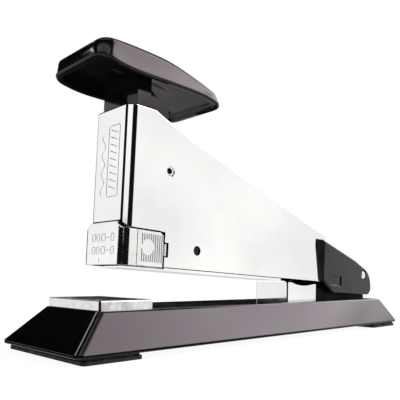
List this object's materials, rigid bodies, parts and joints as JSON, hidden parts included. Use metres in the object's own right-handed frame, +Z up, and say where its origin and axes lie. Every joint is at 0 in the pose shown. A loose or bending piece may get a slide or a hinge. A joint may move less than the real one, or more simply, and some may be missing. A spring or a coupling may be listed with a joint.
{
  "type": "desk stapler",
  "caption": "Front-loading desk stapler: plated wedge head with a wide sprung palm handle, hinged at the rear on a black trapezoid base.",
  "frame": {"origin": "on the table, under the middle of the base", "axes": "+X to the rear, along the base; +Z up; +Y to the right as seen from behind"},
  "size_m": [0.2, 0.0476, 0.0994],
  "materials": {
    "black_lacquer": "gloss black stoved lacquer on pressed steel",
    "rubber": "matt black rubber",
    "chrome": "bright plating on pressed steel",
    "steel": "zinc-plated steel",
    "spring_steel": "drawn spring wire and hardened strip",
    "black_oxide": "blackened steel",
    "black_plastic": "gloss black moulding",
    "staple_wire": "galvanised staple wire",
    "pusher_plastic": "matt dark grey nylon"
  },
  "bodies": {
    "base": {"base_shell": "black_lacquer", "front_foot_pad": "rubber", "rear_foot_pad": "rubber", "anvil_plate": "chrome", "anvil_rivets": "steel", "hinge_bracket": "black_lacquer", "bracket_rivets": "steel", "spring_housing": "chrome", "housing_rivets": "steel", "lift_spring": "spring_steel", "pivot_pin": "steel"},
    "arm": {"body_shell": "chrome", "rear_cover": "black_plastic", "magazine_track": "steel", "track_rivets": "black_oxide", "spring_seat": "steel", "spring_shelf": "steel", "stop_pin": "steel", "return_spring": "spring_steel"},
    "plunger_assembly": {"handle_pad": "black_plastic", "plunger": "black_plastic", "handle_studs": "steel", "driver_blade": "spring_steel"},
    "drawer": {"front_cap": "chrome", "staple_channel": "steel", "staple_strip": "staple_wire", "latch_pins": "steel", "pusher_spring": "spring_steel"},
    "pusher_follower": {"pusher": "pusher_plastic"},
    "latch_left": {"latch_left": "chrome"},
    "latch_right": {"latch_right": "chrome"}
  },
  "joints": [
    {"name": "arm_hinge", "type": "hinge", "parent": "base", "child": "arm", "pos_m": [0.08438, 0, 0.02714], "axis": [0, -1, 0], "range_deg": [0, 3.45], "stiffness_Nm_per_rad": 3, "springref_deg": -6.88, "deforming": ["lift_spring"]},
    {"name": "plunger_slide", "type": "slide", "parent": "arm", "child": "plunger_assembly", "axis": [-0.0454, 0, -0.999], "range_m": [0, 0.0108], "stiffness_N_per_m": 900, "springref_m": -0.006, "deforming": ["return_spring"]},
    {"name": "drawer_slide", "type": "slide", "parent": "arm", "child": "drawer", "axis": [-0.999, 0, 0.0454], "range_m": [0, 0.062]},
    {"name": "pusher_slide", "type": "slide", "parent": "drawer", "child": "pusher_follower", "axis": [0.999, 0, -0.0454], "range_m": [0, 0.033], "stiffness_N_per_m": 50, "springref_m": -0.02, "deforming": ["pusher_spring"]},
    {"name": "latch_left_squeeze", "type": "hinge", "parent": "drawer", "child": "latch_left", "pos_m": [-0.06953, -0.0092, 0.03483], "axis": [0.0454, 0, 0.999], "range_deg": [0, 4.5], "stiffness_Nm_per_rad": 0.05, "springref_deg": -11.46},
    {"name": "latch_right_squeeze", "type": "hinge", "parent": "drawer", "child": "latch_right", "pos_m": [-0.06953, 0.0092, 0.03483], "axis": [-0.0454, 0, -0.999], "range_deg": [0, 4.5], "stiffness_Nm_per_rad": 0.05, "springref_deg": -11.46}
  ],
  "couplings": [
    {"joint": "latch_right_squeeze", "follows": "latch_left_squeeze", "ratio": 1}
  ]
}
